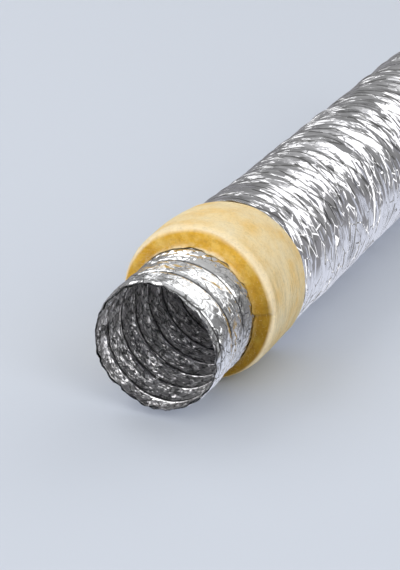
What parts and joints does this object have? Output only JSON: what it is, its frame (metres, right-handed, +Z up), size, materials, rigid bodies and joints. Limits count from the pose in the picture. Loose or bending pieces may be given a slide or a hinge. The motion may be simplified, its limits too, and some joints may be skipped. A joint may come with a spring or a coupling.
{
  "type": "insulated flexible air duct",
  "caption": "Insulated flexible duct: wire-helix foil core bared at one end, glass wool blanket and metallised film jacket, built as a bendable chain.",
  "frame": {"origin": "centre of the open mouth of the bare core, on the duct's axis", "axes": "+Y along the duct from the mouth to the far end, +Z up, +X to the right seen from the mouth"},
  "size_m": [0.1973, 1.0125, 0.1983],
  "materials": {
    "core_foil": "satin",
    "spring_wire": "satin",
    "glass_wool": "matte",
    "jacket_film": "gloss"
  },
  "bodies": {
    "turn1": {"turn1_inner_ply": "core_foil", "turn1_helix_wire": "spring_wire", "turn1_outer_ply": "core_foil"},
    "turn2": {"turn2_inner_ply": "core_foil", "turn2_helix_wire": "spring_wire", "turn2_outer_ply": "core_foil"},
    "turn3": {"turn3_inner_ply": "core_foil", "turn3_helix_wire": "spring_wire", "turn3_outer_ply": "core_foil"},
    "neck": {"neck_inner_ply": "core_foil", "neck_helix_wire": "spring_wire", "neck_outer_ply": "core_foil", "neck_insulation": "glass_wool"},
    "link1": {"link1_inner_ply": "core_foil", "link1_helix_wire": "spring_wire", "link1_outer_ply": "core_foil", "link1_insulation": "glass_wool", "link1_jacket": "jacket_film"},
    "link2": {"link2_inner_ply": "core_foil", "link2_helix_wire": "spring_wire", "link2_outer_ply": "core_foil", "link2_insulation": "glass_wool", "link2_jacket": "jacket_film"},
    "link3": {"link3_inner_ply": "core_foil", "link3_helix_wire": "spring_wire", "link3_outer_ply": "core_foil", "link3_insulation": "glass_wool", "link3_jacket": "jacket_film"},
    "link4": {"link4_inner_ply": "core_foil", "link4_helix_wire": "spring_wire", "link4_outer_ply": "core_foil", "link4_insulation": "glass_wool", "link4_jacket": "jacket_film"},
    "link5": {"link5_inner_ply": "core_foil", "link5_helix_wire": "spring_wire", "link5_outer_ply": "core_foil", "link5_insulation": "glass_wool", "link5_jacket": "jacket_film"},
    "link6": {"link6_inner_ply": "core_foil", "link6_helix_wire": "spring_wire", "link6_outer_ply": "core_foil", "link6_insulation": "glass_wool", "link6_jacket": "jacket_film"},
    "link7": {"link7_inner_ply": "core_foil", "link7_helix_wire": "spring_wire", "link7_outer_ply": "core_foil", "link7_insulation": "glass_wool", "link7_jacket": "jacket_film"},
    "link8": {"link8_inner_ply": "core_foil", "link8_helix_wire": "spring_wire", "link8_outer_ply": "core_foil", "link8_insulation": "glass_wool", "link8_jacket": "jacket_film"},
    "link9": {"link9_inner_ply": "core_foil", "link9_helix_wire": "spring_wire", "link9_outer_ply": "core_foil", "link9_insulation": "glass_wool", "link9_jacket": "jacket_film"}
  },
  "joints": [
    {"name": "close_turn3", "type": "slide", "parent": "neck", "child": "turn3", "axis": [0, 1, 0], "range_m": [0, 0.022], "deforming": ["turn3_inner_ply", "turn3_outer_ply"]},
    {"name": "close_turn2", "type": "slide", "parent": "turn3", "child": "turn2", "axis": [0, 1, 0], "range_m": [0, 0.022], "deforming": ["turn2_inner_ply", "turn2_outer_ply"]},
    {"name": "close_turn1", "type": "slide", "parent": "turn2", "child": "turn1", "axis": [0, 1, 0], "range_m": [0, 0.022], "deforming": ["turn1_inner_ply", "turn1_outer_ply"]},
    {"name": "bend1_up_down", "type": "hinge", "parent": "neck", "child": "link1", "pos_m": [0, 0.23438, 0], "axis": [1, 0, 0], "range_deg": [-25, 25], "deforming": ["link1_inner_ply", "link1_outer_ply", "link1_insulation", "link1_jacket", "neck_inner_ply", "neck_outer_ply", "neck_insulation"]},
    {"name": "bend2_sideways", "type": "hinge", "parent": "link1", "child": "link2", "pos_m": [0, 0.31875, 0], "axis": [0, 0, 1], "range_deg": [-25, 25], "deforming": ["link2_inner_ply", "link2_outer_ply", "link2_insulation", "link2_jacket"]},
    {"name": "bend3_up_down", "type": "hinge", "parent": "link2", "child": "link3", "pos_m": [0, 0.40313, 0], "axis": [1, 0, 0], "range_deg": [-25, 25], "deforming": ["link3_inner_ply", "link3_outer_ply", "link3_insulation", "link3_jacket"]},
    {"name": "bend4_sideways", "type": "hinge", "parent": "link3", "child": "link4", "pos_m": [0, 0.4875, 0], "axis": [0, 0, 1], "range_deg": [-25, 25], "deforming": ["link4_inner_ply", "link4_outer_ply", "link4_insulation", "link4_jacket"]},
    {"name": "bend5_up_down", "type": "hinge", "parent": "link4", "child": "link5", "pos_m": [0, 0.57188, 0], "axis": [1, 0, 0], "range_deg": [-25, 25], "deforming": ["link5_inner_ply", "link5_outer_ply", "link5_insulation", "link5_jacket"]},
    {"name": "bend6_sideways", "type": "hinge", "parent": "link5", "child": "link6", "pos_m": [0, 0.65625, 0], "axis": [0, 0, 1], "range_deg": [-25, 25], "deforming": ["link6_inner_ply", "link6_outer_ply", "link6_insulation", "link6_jacket"]},
    {"name": "bend7_up_down", "type": "hinge", "parent": "link6", "child": "link7", "pos_m": [0, 0.74062, 0], "axis": [1, 0, 0], "range_deg": [-25, 25], "deforming": ["link7_inner_ply", "link7_outer_ply", "link7_insulation", "link7_jacket"]},
    {"name": "bend8_sideways", "type": "hinge", "parent": "link7", "child": "link8", "pos_m": [0, 0.825, 0], "axis": [0, 0, 1], "range_deg": [-25, 25], "deforming": ["link8_inner_ply", "link8_outer_ply", "link8_insulation", "link8_jacket"]},
    {"name": "bend9_up_down", "type": "hinge", "parent": "link8", "child": "link9", "pos_m": [0, 0.90938, 0], "axis": [1, 0, 0], "range_deg": [-25, 25], "deforming": ["link9_inner_ply", "link9_outer_ply", "link9_insulation", "link9_jacket"]}
  ],
  "couplings": [
    {"joint": "close_turn2", "follows": "close_turn3", "ratio": 1},
    {"joint": "close_turn1", "follows": "close_turn3", "ratio": 1}
  ]
}
